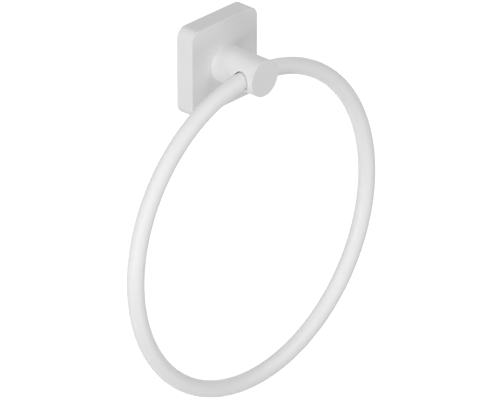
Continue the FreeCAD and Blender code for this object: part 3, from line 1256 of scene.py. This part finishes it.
@dataclass
class Studio:
    """Floor, world and lamps, with the floor's sizes in metres."""

    # the floor lies below every camera that looks at the object
    floor_drop: float = 4.0
    floor_side: float = 40.0
    floor_colour: str = "#F4F4F4"
    floor_glow: float = 1.0
    sky: float = 0.205
    # the small key at the left throws the post's shadow, and the others fill in round it
    lamps: tuple[SoftBox, ...] = (
        SoftBox("lamp_key", -80.0, 0.0, 0.35, 11.4),
        SoftBox("lamp_left_high", -75.0, 40.0, 0.35, 4.8),
        SoftBox("lamp_left_back", -120.0, 52.0, 0.8, 6.5),
        SoftBox("lamp_left", -40.0, 10.0, 0.8, 3.8),
        SoftBox("lamp_left_low", -35.0, -10.0, 0.8, 2.5),
        SoftBox("lamp_low", -20.0, -35.0, 0.8, 6.8),
        SoftBox("lamp_right", 45.0, 10.0, 0.8, 3.6),
        SoftBox("lamp_right_high", 30.0, 52.0, 0.8, 9.2),
        SoftBox("lamp_back_right", 140.0, -20.0, 1.6, 4.0),
        SoftBox("lamp_back_left", -140.0, -10.0, 0.8, 3.6),
    )

    def build(self) -> None:
        """Set up the floor, the world, the lamps and the colours of the picture."""
        low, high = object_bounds()
        middle = (low + high) / 2
        self._floor(middle)
        self._world()
        for lamp in self.lamps:
            lamp.hang(middle)
        bpy.context.scene.view_settings.view_transform = "Standard"
        LOG.info("studio: %d lamps", len(self.lamps))

    def _seen_plainly(self, tree: bpy.types.NodeTree) -> bpy.types.NodeSocket:
        """Tell the rays that show a surface from those that carry its light on.

        Args:
            tree: the node tree that asks.

        Returns:
            A factor of 1 for rays from the camera, from gloss and through glass, else 0.
        """
        path = add_node(tree, "ShaderNodeLightPath")
        either = add_node(tree, "ShaderNodeMath", {"operation": "MAXIMUM"},
                          {0: path.outputs["Is Camera Ray"], 1: path.outputs["Is Glossy Ray"]})
        return add_node(tree, "ShaderNodeMath", {"operation": "MAXIMUM"},
                        {0: either.outputs[0],
                         1: path.outputs["Is Transmission Ray"]}).outputs[0]

    def _floor(self, middle: Vector) -> None:
        """Lay the pale floor, with a glow that only lifts how white it looks.

        Args:
            middle: the object's middle, which the floor lies under.
        """
        mesh = bpy.data.meshes.new("studio_floor")
        half = self.floor_side / 2
        height = middle.z - self.floor_drop
        mesh.from_pydata([(middle.x - half, middle.y - half, height),
                          (middle.x + half, middle.y - half, height),
                          (middle.x + half, middle.y + half, height),
                          (middle.x - half, middle.y + half, height)], [], [(0, 1, 2, 3)])
        floor = bpy.data.objects.new("studio_floor", mesh)
        bpy.context.scene.collection.objects.link(floor)
        material = bpy.data.materials.new("studio_paper")
        tree = empty_tree(material)
        paper = add_node(tree, "ShaderNodeBsdfDiffuse", None, {"Color": linear(self.floor_colour)})
        glow = add_node(tree, "ShaderNodeMath", {"operation": "MULTIPLY"},
                        {0: self._seen_plainly(tree), 1: self.floor_glow})
        lift = add_node(tree, "ShaderNodeEmission", None,
                        {"Color": linear("#FFFFFF"), "Strength": glow.outputs[0]})
        both = add_node(tree, "ShaderNodeAddShader", None,
                        {0: paper.outputs[0], 1: lift.outputs[0]})
        add_node(tree, "ShaderNodeOutputMaterial", None, {"Surface": both.outputs[0]})
        # the glow lights nothing, so no light rays are spent on it
        material.cycles.emission_sampling = "NONE"
        mesh.materials.append(material)
        floor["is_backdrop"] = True

    def _world(self) -> None:
        """Light the object from all round with a grey sky that the camera sees as white."""
        world = bpy.data.worlds.new("studio_world")
        bpy.context.scene.world = world
        tree = empty_tree(world)
        grey = add_node(tree, "ShaderNodeBackground", None,
                        {"Color": linear("#FFFFFF"), "Strength": self.sky})
        white = add_node(tree, "ShaderNodeBackground", None,
                         {"Color": linear("#FFFFFF"), "Strength": 1.0})
        both = add_node(tree, "ShaderNodeMixShader", None,
                        {0: self._seen_plainly(tree), 1: grey.outputs[0], 2: white.outputs[0]})
        add_node(tree, "ShaderNodeOutputWorld", None, {"Surface": both.outputs[0]})


@dataclass
class StudioCamera:
    """The camera, from the left, above and far off, as in the picture."""

    # how far the view is turned from square on to the wall, and how far it looks down
    turn_deg: float = 47.214
    down_deg: float = 26.957
    # from the camera to the plane through the wall's origin, and where that origin is seen
    distance_mm: float = 3169.5
    origin_right_mm: float = -21.1755
    origin_up_mm: float = 75.3714
    picture_width_px: int = 500
    focal_px: float = 6034.0
    sensor_mm: float = 36.0
    # the farthest that it sees, in metres, which takes in the floor
    sight: float = 60.0

    def build(self) -> None:
        """Place the camera."""
        turn = math.radians(self.turn_deg)
        down = math.radians(self.down_deg)
        right = Vector((math.cos(turn), -math.sin(turn), 0.0))
        up = Vector((math.sin(turn) * math.sin(down), math.cos(turn) * math.sin(down),
                     math.cos(down)))
        ahead = Vector((math.sin(turn) * math.cos(down), math.cos(turn) * math.cos(down),
                        -math.sin(down)))
        place = -(right * self.origin_right_mm + up * self.origin_up_mm + ahead * self.distance_mm)
        lens = bpy.data.cameras.new("studio_camera")
        lens.sensor_width = self.sensor_mm
        lens.lens = self.focal_px * self.sensor_mm / self.picture_width_px
        lens.clip_end = self.sight
        camera = bpy.data.objects.new("studio_camera", lens)
        camera.matrix_world = Matrix.Translation(place * MM) @ Matrix(
            (right, up, -ahead)).transposed().to_4x4()
        bpy.context.scene.collection.objects.link(camera)
        bpy.context.scene.camera = camera
        LOG.info("camera: %.0f mm lens, %.0f mm away", lens.lens, self.distance_mm)


def main() -> None:
    """Build and dress every piece in order, then the studio."""
    logging.basicConfig(level=logging.INFO, format="%(name)s %(message)s")
    for assembly in (CoverPlate(), BoredPost(), HangingRing(), WallBracket(), GrubScrew()):
        assembly.dress(assembly.build())
    fixing = PostFixing()
    fixing.dress(fixing.build_screw(), fixing.build_washer())
    Studio().build()
    StudioCamera().build()


if __name__ == "__main__":
    main()
